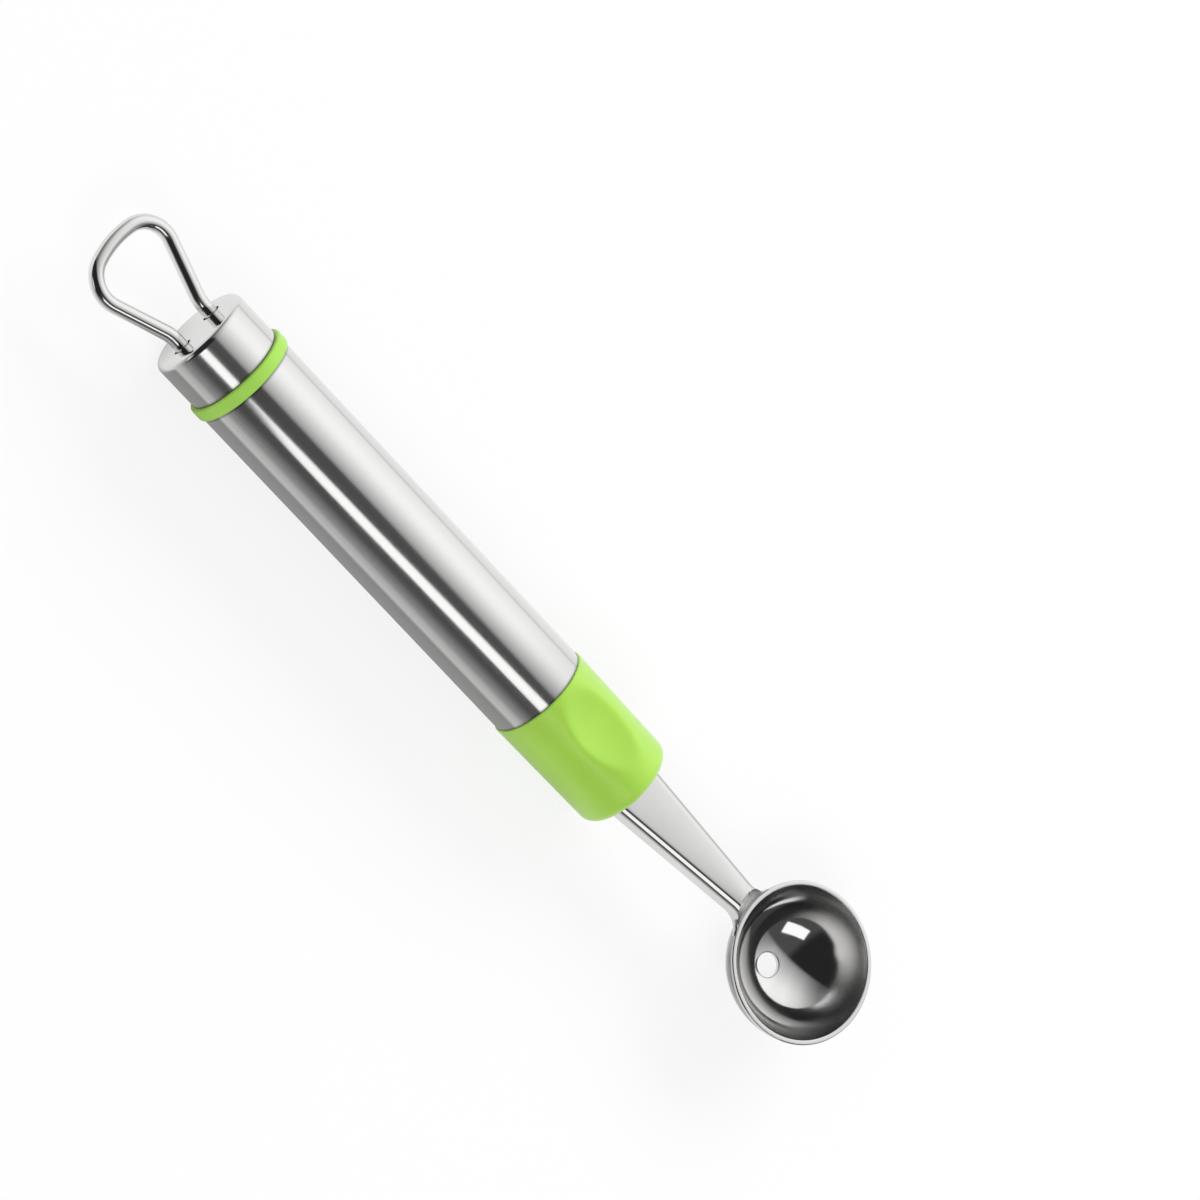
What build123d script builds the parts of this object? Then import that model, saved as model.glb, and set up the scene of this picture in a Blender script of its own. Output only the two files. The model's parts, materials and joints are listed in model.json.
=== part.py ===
from build123d import *
import math
import os

# Every length is in millimetres and every angle in degrees.
# Stations run along the handle from the joint of the end cap and the ring band,
# positive towards the bowl. Heights are above the handle axis.

# Handle tube
tube_diameter = 18.0
tube_wall = 0.8
tube_length = 73.3

# Ring band between the tube and the end cap
band_diameter = 18.9
band_length = 2.4
band_edge_radius = 0.4

# End cap
cap_diameter = 17.5
cap_length = 9.1
cap_wall = 1.0
cap_edge_radius = 1.1
cap_inner_radius = 0.4

# Hanging loop of round wire
wire_diameter = 2.6
leg_spacing = 7.7
loop_standout = 21.0
loop_width = 18.2
loop_top_radius = 17.4
loop_corner_radius = 5.0
loop_straight = 2.6
kink_radius = 4.0
foot_bend_radius = 1.8
foot_end_gap = 0.5
foot_play = 0.1
wire_hole_clearance = 0.3
loop_travel = 1.8

# End plug inside the tube and the cap
plug_spigot_length = 12.0
plug_clearance = 0.05
plug_nose_length = 5.6
plug_bore = 11.0
plug_floor = 2.0
foot_slot_clearance = 0.4

# Thumb grip, a soft sleeve over a hard core
grip_length = 23.5
grip_joint_diameter = 18.5
grip_front_diameter = 17.9
grip_front_radius = 1.9
grip_joint_radius = 0.3
sleeve_front_wall = 1.6
dimple_depth = 1.55
dimple_back_land = 1.7
dimple_front_land = 5.2
dimple_edge_radius = 1.5

# Core that holds the tang
core_diameter = 14.0
core_spigot_length = 14.0
core_clearance = 0.05
core_lead_chamfer = 0.8

# Bowl
rim_diameter = 28.2
bowl_depth = 11.3
bowl_wall = 0.9
rim_edge_radius = 0.25
drain_diameter = 4.3
bowl_reach = 45.0
rim_height = 3.0
rise_angle = 3.5

# Shank, a pressed channel that is open below
shank_root_width = 10.6
shank_neck_width = 5.7
neck_distance = 17.3
shank_depth = 3.7
shank_wall = 1.2
shank_edge_radius = 0.8
shank_top_height = 2.6
flare_radius = 4.0
facet_run = 2.0
channel_end_wall = 1.6
root_depth = 6.0
tang_width = 8.0
tang_length = 22.0
tang_hole_diameter = 4.0
tang_hole_pitch = 9.0
tang_end_radius = 2.5

# How far a cutting shape runs past what it cuts
overrun = 1.0

# Sizes worked out from the ones above
wire_radius = wire_diameter / 2
tube_bore = tube_diameter - 2 * tube_wall
cap_bore = cap_diameter - 2 * cap_wall
band_station = band_length
grip_station = band_station + tube_length
front_station = grip_station + grip_length
dimple_length = grip_length - dimple_back_land - dimple_front_land
dimple_station = dimple_back_land + dimple_length / 2
bowl_station = front_station + bowl_reach
rim_radius = rim_diameter / 2
outer_depth = bowl_depth + bowl_wall
sphere_radius = (rim_radius ** 2 + outer_depth ** 2) / (2 * outer_depth)
sphere_rise = sphere_radius - outer_depth
face_station = -cap_length
face_inside = face_station + cap_wall
foot_station = face_inside + foot_play + foot_bend_radius
slot_floor = foot_station + wire_radius + loop_travel + foot_slot_clearance
shank_taper_share = (shank_root_width - shank_neck_width) / (bowl_reach - neck_distance)

# The bowl and the shank share one tilted plane, the plane of the rim
rise = math.radians(rise_angle)
rim_plane = Plane(
    origin=(bowl_station, 0, rim_height),
    x_dir=(math.cos(rise), 0, math.sin(rise)),
    z_dir=(-math.sin(rise), 0, math.cos(rise)),
)


def along_handle(shape, station):
    """Turn a shape that is round about Z so that Z runs along the handle from a station."""
    return Location((station, 0, 0), (0, 90, 0)) * shape


def rod(diameter, start, end):
    """A solid cylinder on the handle axis between two stations."""
    blank = Cylinder(diameter / 2, end - start, align=(Align.CENTER, Align.CENTER, Align.MIN))
    return along_handle(blank, start)


def below_rim(radius):
    """A cylinder that hangs down from the rim plane, past the bottom of the bowl."""
    return Cylinder(radius, sphere_radius + overrun, align=(Align.CENTER, Align.CENTER, Align.MAX))


def make_bowl():
    """Spherical cup with one wall all round, a rounded lip and a drain hole."""
    inner_radius = sphere_radius - bowl_wall
    outside = Sphere(sphere_radius)
    inside = Sphere(inner_radius)
    cup = Pos(0, 0, sphere_rise) * (outside - inside) & below_rim(sphere_radius)
    lip = cup.edges().filter_by(GeomType.CIRCLE).group_by(Axis.Z)[-1]
    cup = fillet(lip, rim_edge_radius)
    return rim_plane * (cup - below_rim(drain_diameter / 2))


def bowl_envelope():
    """What the shank must leave free: the outside of the bowl, and a cone above the rim."""
    ball = Pos(0, 0, sphere_rise) * Sphere(sphere_radius) & below_rim(sphere_radius)
    cone_height = shank_top_height + overrun
    cone_radius = rim_radius + facet_run * cone_height / shank_top_height
    cone = Cone(rim_radius, cone_radius, cone_height, align=(Align.CENTER, Align.CENTER, Align.MIN))
    return ball + cone


def shank_half_width(distance, inset):
    """Half of the shank's width at a distance from the bowl's centre, drawn in by an inset."""
    return (shank_neck_width + shank_taper_share * (distance - neck_distance)) / 2 - inset


def taper_outline(far, near, inset):
    """Plan of the tapered shank between two distances from the bowl's centre."""
    return Polygon(
        (-far, -shank_half_width(far, inset)),
        (-near, -shank_half_width(near, inset)),
        (-near, shank_half_width(near, inset)),
        (-far, shank_half_width(far, inset)),
        align=None,
    )


def flare_end():
    """Distance from the bowl's centre, along the shank, at which the flare meets the rim."""
    angle = math.atan(shank_taper_share / 2)
    across = shank_half_width(0, 0) * math.cos(angle) + flare_radius
    reach = rim_radius + flare_radius
    along = math.sqrt(reach ** 2 - across ** 2)
    return (along * math.cos(angle) - across * math.sin(angle)) * rim_radius / reach


def make_shank():
    """Tapered channel with a flat top that flares into the bowl's back, and its tang."""
    root_distance = bowl_reach + root_depth
    plan = taper_outline(root_distance, rim_radius / 2, 0) + Circle(rim_radius)
    flare_corners = plan.vertices().filter_by_position(Axis.X, -rim_radius, -rim_radius / 2)
    plan = fillet(flare_corners, flare_radius)
    body = Pos(0, 0, shank_top_height - shank_depth) * extrude(plan, shank_depth)
    top_edges = body.edges().group_by(Axis.Z)[-1]
    root_edge = top_edges.sort_by(Axis.X)[0]
    side_edges = [edge for edge in top_edges if edge != root_edge]
    body = fillet(side_edges, shank_edge_radius)
    bowl_side = Box(rim_diameter, rim_diameter, rim_diameter)
    body -= Pos(rim_radius - flare_end(), 0, 0) * bowl_side

    hollow = taper_outline(root_distance + overrun, neck_distance + channel_end_wall, shank_wall)
    hollow_height = shank_depth - shank_wall + overrun
    body -= Pos(0, 0, shank_top_height - shank_depth - overrun) * extrude(hollow, hollow_height)
    body -= bowl_envelope()

    tang = Rectangle(tang_length + overrun, tang_width, align=(Align.MIN, Align.CENTER))
    tang = Pos(-root_distance - tang_length, 0) * tang
    tang_corners = tang.vertices().group_by(Axis.X)[0]
    tang = fillet(tang_corners, tang_end_radius)
    for number in (0, 1):
        hole_x = -root_distance - tang_length + tang_width / 2 + number * tang_hole_pitch
        tang -= Pos(hole_x, 0) * Circle(tang_hole_diameter / 2)
    strip = Pos(0, 0, shank_top_height - shank_wall) * extrude(tang, shank_wall)
    return rim_plane * (body + strip)


def make_core(shank):
    """Hard core moulded round the tang, with the spigot that plugs into the tube."""
    core_front = front_station - sleeve_front_wall
    body = rod(core_diameter, grip_station, core_front)
    spigot_start = grip_station - core_spigot_length
    spigot = rod(tube_bore - 2 * core_clearance, spigot_start, grip_station)
    lead = spigot.edges().group_by(Axis.X)[0]
    spigot = chamfer(lead, core_lead_chamfer)
    return body + spigot - shank


def make_grip(shank):
    """Soft sleeve round the core, tapered, rounded in front, with a thumb dimple on both faces."""
    sleeve = Cone(
        grip_joint_diameter / 2,
        grip_front_diameter / 2,
        grip_length,
        align=(Align.CENTER, Align.CENTER, Align.MIN),
    )
    sleeve = along_handle(sleeve, grip_station)
    front = sleeve.edges().group_by(Axis.X)[-1]
    sleeve = fillet(front, grip_front_radius)
    back = sleeve.edges().group_by(Axis.X)[0]
    sleeve = fillet(back, grip_joint_radius)

    share = dimple_station / grip_length
    crown = (grip_joint_diameter + (grip_front_diameter - grip_joint_diameter) * share) / 2
    dimple_radius = ((dimple_length / 2) ** 2 + dimple_depth ** 2) / (2 * dimple_depth)
    for side in (1, -1):
        middle = Pos(grip_station + dimple_station, 0, side * (crown + dimple_radius - dimple_depth))
        before = sleeve.edges()
        sleeve -= middle * Sphere(dimple_radius)
        mouth = [edge for edge in sleeve.edges() - before if edge.geom_type != GeomType.CIRCLE]
        sleeve = fillet(mouth, dimple_edge_radius)

    sleeve -= rod(core_diameter, grip_station - overrun, front_station - sleeve_front_wall)
    return sleeve - shank


def make_tube():
    """Plain steel tube."""
    outside = rod(tube_diameter, band_station, grip_station)
    return outside - rod(tube_bore, band_station - overrun, grip_station + overrun)


def make_band():
    """Ring that sits on the plug, slightly proud of the tube and the cap."""
    ring = rod(band_diameter, 0, band_length)
    ring = fillet(ring.edges().filter_by(GeomType.CIRCLE), band_edge_radius)
    return ring - rod(tube_bore, -overrun, band_length + overrun)


def make_cap():
    """Deep drawn cup with a flat end and two holes for the loop's legs."""
    cap = rod(cap_diameter, face_station, 0)
    outer_edge = cap.edges().group_by(Axis.X)[0]
    cap = fillet(outer_edge, cap_edge_radius)
    room = rod(cap_bore, face_inside, overrun)
    inner_edge = room.edges().group_by(Axis.X)[0]
    room = fillet(inner_edge, cap_inner_radius)
    cap -= room
    for side in (1, -1):
        hole_diameter = wire_diameter + 2 * wire_hole_clearance
        hole = rod(hole_diameter, face_station - overrun, face_inside + overrun)
        cap -= Pos(0, side * leg_spacing / 2, 0) * hole
    return cap


def make_plug():
    """Moulded plug: a spigot in the tube, a seat for the band, and a slotted nose in the cap."""
    body = rod(tube_bore - 2 * plug_clearance, 0, band_station + plug_spigot_length)
    nose = rod(cap_bore - 2 * plug_clearance, -plug_nose_length, 0)
    bore = rod(plug_bore, slot_floor + plug_floor, band_station + plug_spigot_length + overrun)
    slot_width = wire_diameter + 2 * foot_slot_clearance
    slot_length = slot_floor + plug_nose_length + overrun
    slot = Box(slot_length, cap_diameter, slot_width, align=(Align.MAX, Align.CENTER, Align.CENTER))
    return body + nose - bore - Pos(slot_floor, 0, 0) * slot


def make_loop():
    """One bent wire: two out-turned feet, two straight legs, two slanted sides and a round top."""
    leg = leg_spacing / 2
    kink_station = face_station - loop_straight
    top_station = face_station - loop_standout + wire_radius
    half_width = loop_width / 2 - wire_radius
    top_centre = top_station + loop_top_radius
    corner_y = half_width - loop_corner_radius
    corner_x = top_centre - math.sqrt((loop_top_radius - loop_corner_radius) ** 2 - corner_y ** 2)
    gap_x = kink_station - corner_x
    gap_y = leg - corner_y
    slant = math.asin(loop_corner_radius / math.hypot(gap_x, gap_y)) - math.atan2(gap_y, gap_x)
    foot_tip = cap_bore / 2 - foot_end_gap
    touch = (
        corner_x + loop_corner_radius * math.sin(slant),
        corner_y + loop_corner_radius * math.cos(slant),
    )
    join_angle = math.degrees(math.atan2(corner_y, corner_x - top_centre))
    half = FilletPolyline(
        (foot_station, foot_tip),
        (foot_station, leg),
        (kink_station, leg),
        touch,
        radius=[foot_bend_radius, kink_radius],
    )
    touch_angle = 90 - math.degrees(slant)
    corner = CenterArc((corner_x, corner_y), loop_corner_radius, touch_angle, join_angle - touch_angle)
    top = CenterArc((top_centre, 0), loop_top_radius, join_angle, 2 * (180 - join_angle))
    near_side = half + corner
    far_side = mirror(near_side, about=Plane.XZ)
    path = Wire((near_side + top + far_side).edges())
    start = Plane(origin=(foot_station, foot_tip, 0), z_dir=(0, -1, 0))
    return sweep(start * Circle(wire_radius), path=path)


shank_solid = make_shank()
pieces = {
    "bowl": make_bowl(),
    "shank": shank_solid,
    "grip_core": make_core(shank_solid),
    "thumb_grip": make_grip(shank_solid),
    "handle_tube": make_tube(),
    "ring_band": make_band(),
    "end_plug": make_plug(),
    "end_cap": make_cap(),
    "hanging_loop": make_loop(),
}

# The part's origin is under the middle of the whole tool, on the surface that it lies on
box = Compound(children=[Compound(piece.solids()) for piece in pieces.values()]).bounding_box()
shift = Pos(-(box.min.X + box.max.X) / 2, 0, -box.min.Z)
os.makedirs("parts", exist_ok=True)
for name, piece in pieces.items():
    export_step(shift * piece, "parts/" + name + ".step")
    print(name, len(piece.solids()), "solid", round(piece.volume, 1), "mm3")
print("shift", round(shift.position.X, 3), round(shift.position.Z, 3))
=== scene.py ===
"""Looks for a melon baller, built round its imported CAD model."""

import json
import math

import bmesh
import bpy
from bpy.props import FloatProperty, FloatVectorProperty, IntProperty, PointerProperty
from mathutils import Matrix, Vector

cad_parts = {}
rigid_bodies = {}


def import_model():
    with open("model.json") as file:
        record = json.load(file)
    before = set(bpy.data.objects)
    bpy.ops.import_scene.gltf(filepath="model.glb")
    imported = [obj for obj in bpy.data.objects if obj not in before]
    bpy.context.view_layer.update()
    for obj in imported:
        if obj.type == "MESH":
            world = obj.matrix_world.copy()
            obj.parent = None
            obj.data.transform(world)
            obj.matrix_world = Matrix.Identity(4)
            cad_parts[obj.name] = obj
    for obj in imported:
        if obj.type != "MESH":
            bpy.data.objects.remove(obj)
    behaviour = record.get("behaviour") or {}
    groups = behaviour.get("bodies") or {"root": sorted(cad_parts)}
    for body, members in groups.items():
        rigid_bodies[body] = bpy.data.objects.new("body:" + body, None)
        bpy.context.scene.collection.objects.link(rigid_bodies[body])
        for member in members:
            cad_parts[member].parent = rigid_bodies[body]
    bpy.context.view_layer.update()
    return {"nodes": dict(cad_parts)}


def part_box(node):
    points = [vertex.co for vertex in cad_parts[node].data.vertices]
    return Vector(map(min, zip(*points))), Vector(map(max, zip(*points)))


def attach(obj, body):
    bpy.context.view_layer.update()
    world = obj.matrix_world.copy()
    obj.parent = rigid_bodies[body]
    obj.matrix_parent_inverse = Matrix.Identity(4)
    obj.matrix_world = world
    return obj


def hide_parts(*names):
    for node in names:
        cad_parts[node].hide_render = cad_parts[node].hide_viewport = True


bl_info = {
    "name": "Melon Baller",
    "version": (1, 0, 0),
    "blender": (4, 5, 0),
    "location": "3D View > Sidebar > Melon Baller",
    "description": "Builds the looks of a melon baller over its CAD frame",
    "category": "Object",
}

# The scene starts empty, and the CAD model is loaded as the fixed frame
for leftover in list(bpy.data.objects):
    bpy.data.objects.remove(leftover)
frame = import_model()

# Places that are read from the CAD nodes, in metres
TUBE_LOW, TUBE_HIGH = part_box("handle_tube")
BAND_LOW, BAND_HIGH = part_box("ring_band")
CAP_LOW, CAP_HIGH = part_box("end_cap")
GRIP_LOW, GRIP_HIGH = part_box("thumb_grip")
LOOP_LOW, LOOP_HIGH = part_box("hanging_loop")
AXIS_HEIGHT = (TUBE_LOW.z + TUBE_HIGH.z) / 2
TUBE_RADIUS = (TUBE_HIGH.y - TUBE_LOW.y) / 2
BAND_RADIUS = (BAND_HIGH.y - BAND_LOW.y) / 2
CAP_RADIUS = (CAP_HIGH.y - CAP_LOW.y) / 2
GRIP_RADIUS = (GRIP_HIGH.y - GRIP_LOW.y) / 2
WIRE_RADIUS = (LOOP_HIGH.z - LOOP_LOW.z) / 2
MM = 0.001
TURN = 2 * math.pi

# How far a cutting shape stands out of what it cuts, and how close two points are one
OVERRUN = 1.0 * MM
WELD = 1e-7

# Facets round the turned pieces, and steps along the grip
LATHE_SIDES = 192
BOWL_SIDES = 160
BOWL_STEPS = 48
HOLE_SIDES = 48
GRIP_SIDES = 240
GRIP_STEPS = 110
FLARE_STEPS = 24

# Where the shank has its rings along the taper, and its points across half of the top face
TAPER_SHARES = (0, 0.3, 0.6, 0.8, 0.9, 0.96)
ACROSS_SHARES = (0.12, 0.3, 0.5, 0.7, 0.85, 0.95)


def length(name, description, millimetres):
    """A length that the sidebar shows in the scene's unit."""
    return FloatProperty(name=name, description=description, default=millimetres * MM, unit="LENGTH")


def slant(name, description, degrees):
    """An angle that the sidebar shows in degrees."""
    angle = math.radians(degrees)
    return FloatProperty(name=name, description=description, default=angle, subtype="ANGLE")


def swatch(name, description, red, green, blue):
    """A colour that the sidebar shows as a swatch, in linear light."""
    colour = (red, green, blue)
    return FloatVectorProperty(
        name=name, description=description, default=colour, subtype="COLOR", size=3, min=0, max=1
    )


class SteelSizes(bpy.types.PropertyGroup):
    """Sizes of the steel pieces."""

    tube_wall: length("Tube wall", "Thickness of the handle tube", 0.8)
    tube_edge: length("Tube edge", "Rounding at the tube's two ends", 0.15)
    cap_wall: length("Cap wall", "Thickness of the end cap", 1.0)
    cap_edge: length("Cap edge", "Rounding round the cap's flat end", 1.1)
    hole_gap: length("Hole gap", "Room round the wire in the cap's holes", 0.3)
    hole_edge: length("Hole edge", "Rounding of the cap's holes", 0.25)
    bowl_rim: length("Bowl rim radius", "Outer radius of the bowl's rim", 14.1)
    bowl_depth: length("Bowl depth", "Depth inside the bowl", 11.3)
    bowl_wall: length("Bowl wall", "Thickness of the bowl", 0.9)
    bowl_edge: length("Bowl edge", "Rounding of the bowl's rim", 0.25)
    drain_radius: length("Drain radius", "Radius of the drain hole", 2.15)
    bowl_reach: length("Bowl reach", "From the grip's front to the bowl's middle", 45.0)
    rim_height: length("Rim height", "Rim plane over the handle axis", 3.0)
    rise: slant("Rise", "Tilt of the rim plane", 3.5)


class ShankSizes(bpy.types.PropertyGroup):
    """Sizes of the pressed shank, with heights over the rim plane."""

    root_width: length("Root width", "Width where the shank leaves the grip", 10.6)
    neck_width: length("Neck width", "Width at the neck", 5.7)
    neck_distance: length("Neck distance", "From the bowl's middle to the neck", 17.3)
    depth: length("Depth", "From the top face to the lower edges", 3.7)
    wall: length("Wall", "Thickness of the pressed strip", 1.2)
    top_height: length("Top height", "Top face over the rim plane", 2.6)
    flare_radius: length("Flare radius", "Hollow curve into the bowl's side", 4.0)
    facet_run: length("Facet run", "Length of the slope down to the rim", 2.7)
    root_depth: length("Root depth", "Part of the channel inside the grip", 6.0)
    tang_width: length("Tang width", "Width of the strip inside the core", 8.0)
    tang_length: length("Tang length", "Length of the strip inside the core", 22.0)
    web: length("Web", "Solid part of the channel behind the neck", 1.6)
    upper_bend: length("Upper bend", "Radius where the top face turns down", 1.4)
    edge_flat: length("Edge flat", "Narrow slanted strip along the edges", 0.33)
    edge_lean: slant("Edge lean", "Slant of that strip", 34)
    crown: length("Crown", "How much lower the top face is at its edges", 0.10)
    lower_bend: length("Lower bend", "Radius where the side wall begins", 1.1)


class GripSizes(bpy.types.PropertyGroup):
    """Sizes of the soft thumb grip and of the ring band."""

    front_radius: length("Front radius", "Radius of the grip's front end", 8.95)
    bore_radius: length("Bore radius", "Radius of the hard core inside", 7.0)
    front_edge: length("Front edge", "Rounding of the grip's front", 1.9)
    back_edge: length("Back edge", "Rounding beside the tube", 0.3)
    back_land: length("Back land", "Plain part behind the dimple", 1.7)
    front_land: length("Front land", "Plain part before the dimple", 5.2)
    dimple_depth: length("Dimple depth", "How deep the thumb dimple is", 1.55)
    front_wall: length("Front wall", "Thickness of the closed front", 1.6)
    dimple_blend: length("Dimple blend", "Softness of the dimple's edge", 0.45)
    band_edge: length("Band edge", "Rounding of the ring band", 0.4)


class LoopSizes(bpy.types.PropertyGroup):
    """Sizes of the wire loop's path, along the middle of the wire."""

    leg_spacing: length("Leg spacing", "Between the two legs", 7.7)
    straight: length("Straight legs", "Straight length outside the cap", 2.6)
    kink_radius: length("Kink radius", "Bend where the sides spread", 6.5)
    corner_radius: length("Corner radius", "Bend at the shoulders", 5.0)
    top_radius: length("Top radius", "Bend at the far end", 17.4)
    foot_bend: length("Foot bend", "Bend inside the cap", 1.8)
    foot_inset: length("Foot inset", "From the cap's inside to the foot's middle", 1.9)
    foot_tip: length("Foot tip", "Reach of a foot from the middle", 7.25)
    wire_sides: IntProperty(name="Wire sides", description="Facets round the wire", default=32)


class Colours(bpy.types.PropertyGroup):
    """Colours of the materials."""

    steel: swatch("Steel", "Stainless steel", 0.74, 0.735, 0.73)
    rubber: swatch("Rubber", "Soft green thumb grip", 0.37, 0.69, 0.04)
    band: swatch("Band", "Green plastic ring", 0.36, 0.68, 0.09)
    core: swatch("Core", "Hard plastic inside", 0.62, 0.62, 0.60)
    floor: swatch("Floor", "Plain floor", 0.9, 0.9, 0.9)


class Channel:
    """One number or vector that flows through a material, with arithmetic on it."""

    def __init__(self, shader, socket):
        self.shader = shader
        self.socket = socket

    def maths(self, operation, *values):
        slots = dict(enumerate(values))
        return self.shader.node("ShaderNodeMath", {"operation": operation}, slots)

    def __add__(self, other):
        return self.maths("ADD", self, other)

    def __sub__(self, other):
        return self.maths("SUBTRACT", self, other)

    def __rsub__(self, other):
        return self.maths("SUBTRACT", other, self)

    def __mul__(self, other):
        return self.maths("MULTIPLY", self, other)

    def __truediv__(self, other):
        return self.maths("DIVIDE", self, other)

    __radd__ = __add__
    __rmul__ = __mul__

    def angle(self, other):
        return self.maths("ARCTAN2", self, other)

    def along(self, axis):
        """How far a direction reaches along a fixed axis."""
        settings = {"operation": "DOT_PRODUCT"}
        return self.shader.node("ShaderNodeVectorMath", settings, {0: self, 1: axis}, "Value")

    def apart(self, point):
        """Distance from a fixed point."""
        settings = {"operation": "DISTANCE"}
        return self.shader.node("ShaderNodeVectorMath", settings, {0: self, 1: point}, "Value")

    def absolute(self):
        return self.maths("ABSOLUTE", self)


class Shader:
    """Adds nodes to one material or world."""

    def __init__(self, tree):
        self.tree = tree
        tree.nodes.clear()

    def node(self, kind, settings, links, output=0):
        """Add one node, apply its settings, then fill its sockets with values or links."""
        new = self.tree.nodes.new(kind)
        for name, value in settings.items():
            if name == "stops":
                self.stops(new.color_ramp, value)
            else:
                setattr(new, name, value)
        for slot, value in links.items():
            if isinstance(value, Channel):
                self.tree.links.new(value.socket, new.inputs[slot])
            else:
                new.inputs[slot].default_value = value
        return Channel(self, new.outputs[output]) if new.outputs else new

    @staticmethod
    def stops(ramp, stops):
        while len(ramp.elements) < len(stops):
            ramp.elements.new(1)
        for element, (place, value) in zip(ramp.elements, stops):
            element.position = place
            element.color = (value, value, value, 1)

    def place(self):
        return self.node("ShaderNodeTexCoord", {}, {}, "Object")

    def parts(self, vector):
        """The three numbers of a vector."""
        split = self.node("ShaderNodeSeparateXYZ", {}, {0: vector})
        return [Channel(self, socket) for socket in split.socket.node.outputs]

    def moved(self, vector, scale):
        """A place stretched along the three axes, for grain that runs one way."""
        links = {"Vector": vector, "Scale": scale}
        return self.node("ShaderNodeMapping", {"vector_type": "POINT"}, links)

    def noise(self, vector, scale, detail=2.0, roughness=0.5):
        links = {"Vector": vector, "Scale": scale, "Detail": detail, "Roughness": roughness}
        return self.node("ShaderNodeTexNoise", {}, links)

    def spread(self, value, low, high, start, end, smooth=False):
        """Map a number from one range to another, held at both ends."""
        kind = "SMOOTHSTEP" if smooth else "LINEAR"
        links = {0: value, 1: low, 2: high, 3: start, 4: end}
        return self.node("ShaderNodeMapRange", {"interpolation_type": kind}, links)

    def ramp(self, value, low, high, *stops):
        """Read levels along a range from stops of (share of the range, level)."""
        place = self.spread(value, low, high, 0, 1)
        return self.node("ShaderNodeValToRGB", {"stops": stops}, {0: place})

    def window(self, value, low, high, soft):
        """One between two limits and nought outside them, with soft edges."""
        start = self.spread(value, low - soft, low + soft, 0, 1, True)
        return self.spread(value, high - soft, high + soft, 1, 0, True) * start

    def mix(self, factor, first, second):
        """Mix two colours."""
        return self.node("ShaderNodeMix", {"data_type": "RGBA"}, {0: factor, 6: first, 7: second}, 2)

    def bump(self, height, distance, strength=1.0):
        links = {"Height": height, "Distance": distance, "Strength": strength}
        return self.node("ShaderNodeBump", {}, links, "Normal")

    def surface(self, links):
        """Finish a material with one Principled surface."""
        closure = self.node("ShaderNodeBsdfPrincipled", {}, links)
        self.node("ShaderNodeOutputMaterial", {}, {"Surface": closure})


def new_material(name):
    material = bpy.data.materials.new(name)
    material.use_nodes = True
    return material, Shader(material.node_tree)


def shade(colour, factor=1.0):
    return (colour[0] * factor, colour[1] * factor, colour[2] * factor, 1)


def brushed_steel(colours):
    """Tube and cap: fine grain along the handle, with a little dirt in the seams."""
    material, paint = new_material("brushed_steel")
    place = paint.place()
    grain = paint.noise(paint.moved(place, (12, 900, 900)), 3.0, 3.0, 0.6)
    cloud = paint.noise(place, 900.0, 3.0)
    x = paint.parts(place)[0]
    seam = 1.0
    for station in (CAP_HIGH.x, TUBE_LOW.x, TUBE_HIGH.x):
        gap = (x - station).absolute()
        seam = paint.spread(gap, 0.00005, 0.0006, 0.0, 1.0, smooth=True) * seam
    tone = seam * 0.7 + 0.3 + (grain - 0.5) * 0.08 + (cloud - 0.5) * 0.06
    colour = paint.mix(tone, shade(colours.steel, 0.25), shade(colours.steel))
    side = paint.spread(x, CAP_LOW.x + 0.0001, CAP_LOW.x + 0.001, 0, 1, smooth=True)
    rough = ((grain - 0.5) * 0.08 + (cloud - 0.5) * 0.05 + 0.09) * side + 0.045
    normal = paint.bump(grain * side, 0.00001, 0.4)
    paint.surface({"Base Color": colour, "Metallic": 1.0, "Roughness": rough, "Normal": normal})
    return material


def polished_steel(colours):
    """Bowl and loop: bright polish with faint swirls, duller inside the bowl, and a painted dark
    reflection in streaks round the bowl's outside.
    """
    material, paint = new_material("polished_steel")
    place = paint.place()
    smear = paint.noise(place, 220.0, 4.0, 0.6)
    swirl = paint.noise(paint.moved(place, (1, 1, 8)), 700.0, 2.0)
    tone = paint.spread(smear, 0.2, 0.8, 0.94, 1.0)
    colour = paint.mix(tone, shade(colours.steel, 0.5), shade(colours.steel))
    steel = bpy.context.scene.baller_steel
    outer, middle = bowl_ball(steel)
    hub = bowl_place(steel) @ Vector((0, 0, middle))
    from_hub = place.apart(tuple(hub))
    z = paint.parts(place)[2]
    inside = paint.window(from_hub, outer - 1.8 * MM, outer - steel.bowl_wall / 2, 0.1 * MM)
    wall = paint.spread(z, hub.z - 9.0 * MM, hub.z - 5.5 * MM, 0, 1, True) * inside
    rim = AXIS_HEIGHT + steel.rim_height
    outside = paint.window(from_hub, outer - steel.bowl_wall / 2, outer + 0.5 * MM, 0.1 * MM)
    # Painted dark reflection: the colour darkens in streaks in a belt round the bowl's outside below
    # the rim
    reflection_belt = paint.window(z, rim - 6.5 * MM, rim - 1.1 * MM, 0.5 * MM) * outside
    reflection_streaks = paint.noise(paint.moved(place, (1, 1, 5)), 190.0, 3.0)
    painted_dark_reflection = reflection_belt * paint.spread(reflection_streaks, 0.38, 0.6, 0.66, 0.97)
    colour = paint.mix(painted_dark_reflection, colour, shade(colours.steel, 0.12))
    rough = paint.spread(smear, 0.3, 0.75, 0.04, 0.09) + swirl * 0.02 + wall * 0.17
    normal = paint.bump(swirl, 0.000004, 0.4)
    paint.surface({"Base Color": colour, "Metallic": 1.0, "Roughness": rough, "Normal": normal})
    return material


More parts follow.
